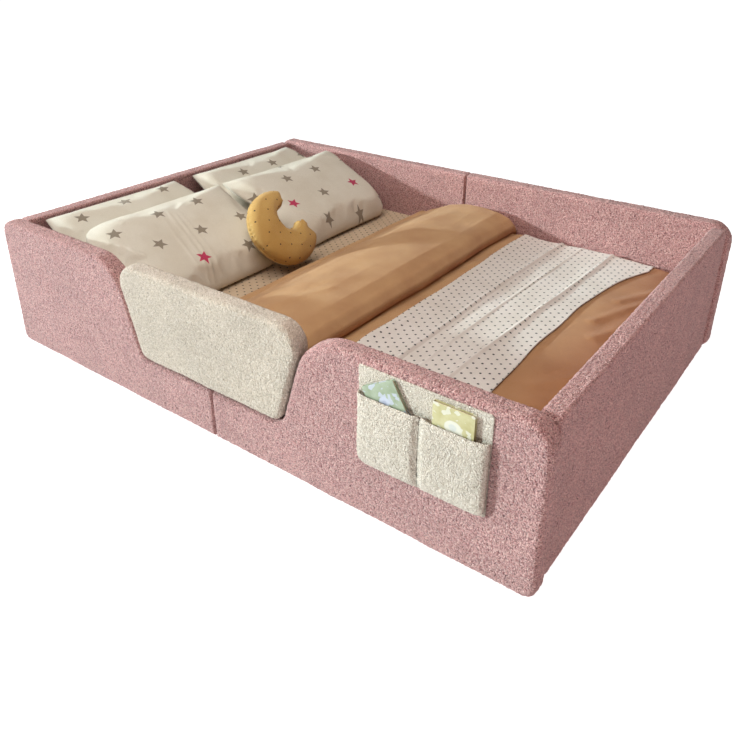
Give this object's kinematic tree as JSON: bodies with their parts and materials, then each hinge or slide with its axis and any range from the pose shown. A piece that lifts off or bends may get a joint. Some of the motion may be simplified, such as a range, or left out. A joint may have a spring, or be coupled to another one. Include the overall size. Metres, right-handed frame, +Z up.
{
  "type": "toddler bed",
  "caption": "Low padded floor bed with four upholstered walls, a dipped entrance with a lift-out guard, front book pockets, slats, mattress and bedding.",
  "frame": {"origin": "on the floor at the centre of the bed frame, at the underside of the middle foot of the centre beam", "axes": "+X along the bed from the head wall to the foot wall, +Y across the bed from the front rail with the dip to the plain back rail, +Z up"},
  "size_m": [2.036, 1.527, 0.5322],
  "materials": {
    "boucle_pink": "matte",
    "boucle_cream": "matte",
    "plywood": "matte",
    "pine": "matte",
    "plated_steel": "satin",
    "fasteners": "satin",
    "black_plastic": "matte",
    "webbing": "matte",
    "mattress_ticking": "matte",
    "dotted_cotton": "matte",
    "caramel_cotton": "matte",
    "star_cotton": "matte",
    "mustard_cotton": "matte",
    "book_cover": "satin"
  },
  "bodies": {
    "bed": {"front_rail_cover_head": "boucle_pink", "front_rail_cover_foot": "boucle_pink", "back_rail_cover_head": "boucle_pink", "back_rail_cover_foot": "boucle_pink", "head_wall_cover": "boucle_pink", "foot_wall_cover": "boucle_pink", "pocket_left": "boucle_cream", "pocket_right": "boucle_cream", "pocket_patch": "boucle_cream", "front_rail_board_head": "plywood", "front_rail_board_foot": "plywood", "back_rail_board_head": "plywood", "back_rail_board_foot": "plywood", "head_wall_board": "plywood", "foot_wall_board": "plywood", "ledger_front_head": "pine", "ledger_front_foot": "pine", "ledger_back_head": "pine", "ledger_back_foot": "pine", "centre_beam_head": "pine", "centre_beam_foot": "pine", "slat_01": "pine", "slat_02": "pine", "slat_03": "pine", "slat_04": "pine", "slat_05": "pine", "slat_06": "pine", "slat_07": "pine", "slat_08": "pine", "slat_09": "pine", "slat_10": "pine", "slat_11": "pine", "slat_12": "pine", "corner_brackets": "plated_steel", "joint_plates": "plated_steel", "beam_hangers": "plated_steel", "beam_splice": "plated_steel", "guard_sockets": "plated_steel", "bracket_bolts": "fasteners", "joint_bolts": "fasteners", "ledger_screws": "fasteners", "wall_glides": "black_plastic", "beam_foot_head": "black_plastic", "beam_foot_middle": "black_plastic", "beam_foot_foot": "black_plastic", "slat_straps": "webbing"},
    "guard": {"guard_cover": "boucle_cream", "guard_board": "plywood", "guard_tongues": "plated_steel"},
    "mattress": {"mattress": "mattress_ticking", "fitted_sheet": "dotted_cotton", "duvet": "caramel_cotton", "throw_blanket": "dotted_cotton"},
    "pillow_back_left": {"pillow_back_left": "star_cotton"},
    "pillow_front_left": {"pillow_front_left": "star_cotton"},
    "moon_cushion": {"moon_cushion": "mustard_cotton"},
    "pillow_back_right": {"pillow_back_right": "star_cotton"},
    "pillow_front_right": {"pillow_front_right": "star_cotton"},
    "book_left": {"book_left": "book_cover"},
    "book_right": {"book_right": "book_cover"}
  },
  "joints": [
    {"name": "guard_lift", "type": "slide", "parent": "bed", "child": "guard", "axis": [0, 0, 1], "range_m": [0, 0.36]},
    {"name": "mattress_lift", "type": "slide", "parent": "bed", "child": "mattress", "axis": [0, 0, 1], "range_m": [0, 0.4]},
    {"name": "pillow_back_left_lift", "type": "slide", "parent": "mattress", "child": "pillow_back_left", "axis": [0, 0, 1], "range_m": [0, 0.2]},
    {"name": "pillow_front_left_lift", "type": "slide", "parent": "pillow_back_left", "child": "pillow_front_left", "axis": [0, 0, 1], "range_m": [0, 0.2]},
    {"name": "moon_cushion_lift", "type": "slide", "parent": "pillow_front_left", "child": "moon_cushion", "axis": [0, 0, 1], "range_m": [0, 0.2]},
    {"name": "pillow_back_right_lift", "type": "slide", "parent": "mattress", "child": "pillow_back_right", "axis": [0, 0, 1], "range_m": [0, 0.2]},
    {"name": "pillow_front_right_lift", "type": "slide", "parent": "pillow_back_right", "child": "pillow_front_right", "axis": [0, 0, 1], "range_m": [0, 0.2]},
    {"name": "book_left_lift", "type": "slide", "parent": "bed", "child": "book_left", "axis": [0, 0, 1], "range_m": [0, 0.2]},
    {"name": "book_right_lift", "type": "slide", "parent": "bed", "child": "book_right", "axis": [0, 0, 1], "range_m": [0, 0.2]}
  ]
}
